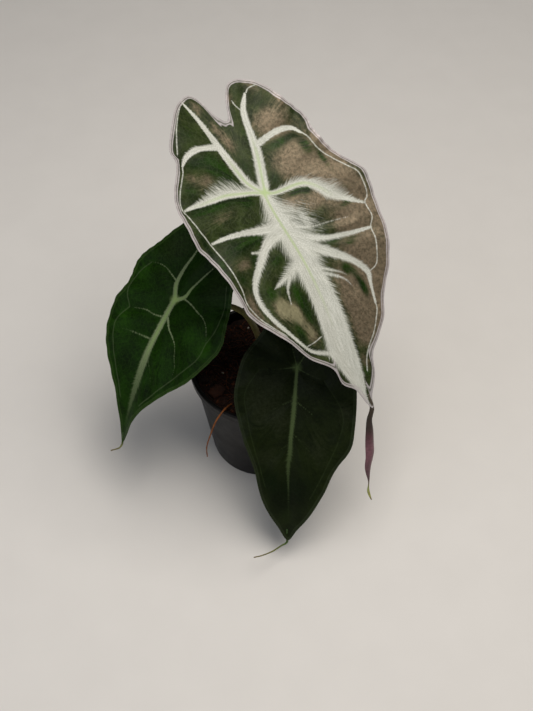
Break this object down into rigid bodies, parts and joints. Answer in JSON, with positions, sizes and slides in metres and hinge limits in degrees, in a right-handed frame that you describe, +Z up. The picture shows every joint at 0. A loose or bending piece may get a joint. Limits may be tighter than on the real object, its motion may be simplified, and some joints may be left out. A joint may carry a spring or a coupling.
{
  "type": "potted venom alocasia",
  "caption": "Young alocasia in a plain nursery pot: arrow-shaped waved leaves on arching stems, a large frosted one with a long twisted drip tail.",
  "frame": {"origin": "middle of the pot's flat base, on the surface it stands on", "axes": "+Z up, the front from which the leaves show is -Y, +X to the right as seen from the front"},
  "size_m": [0.2167, 0.2289, 0.3205],
  "materials": {
    "pot": "black moulded plastic, slightly glossy",
    "soil": "damp coir and bark mix, rough",
    "crown": "waxy stem base, streaked green and tan",
    "strand": "dry orange-brown fibre",
    "stem": "waxy skin, yellow-green to tan",
    "leaf_frosted": "thick leaf with a metallic taupe and green skin and white frosted veins",
    "leaf_green": "satin dark green leaf with pale veins",
    "leaf_dull": "satin dull green puckered leaf"
  },
  "bodies": {
    "root": {"pot": "pot", "soil": "soil", "crown": "crown", "coir_strand": "strand", "stem_large": "stem", "stem_left": "stem", "stem_front": "stem", "leaf_large": "leaf_frosted", "leaf_left": "leaf_green", "leaf_front": "leaf_dull"}
  },
  "joints": []
}
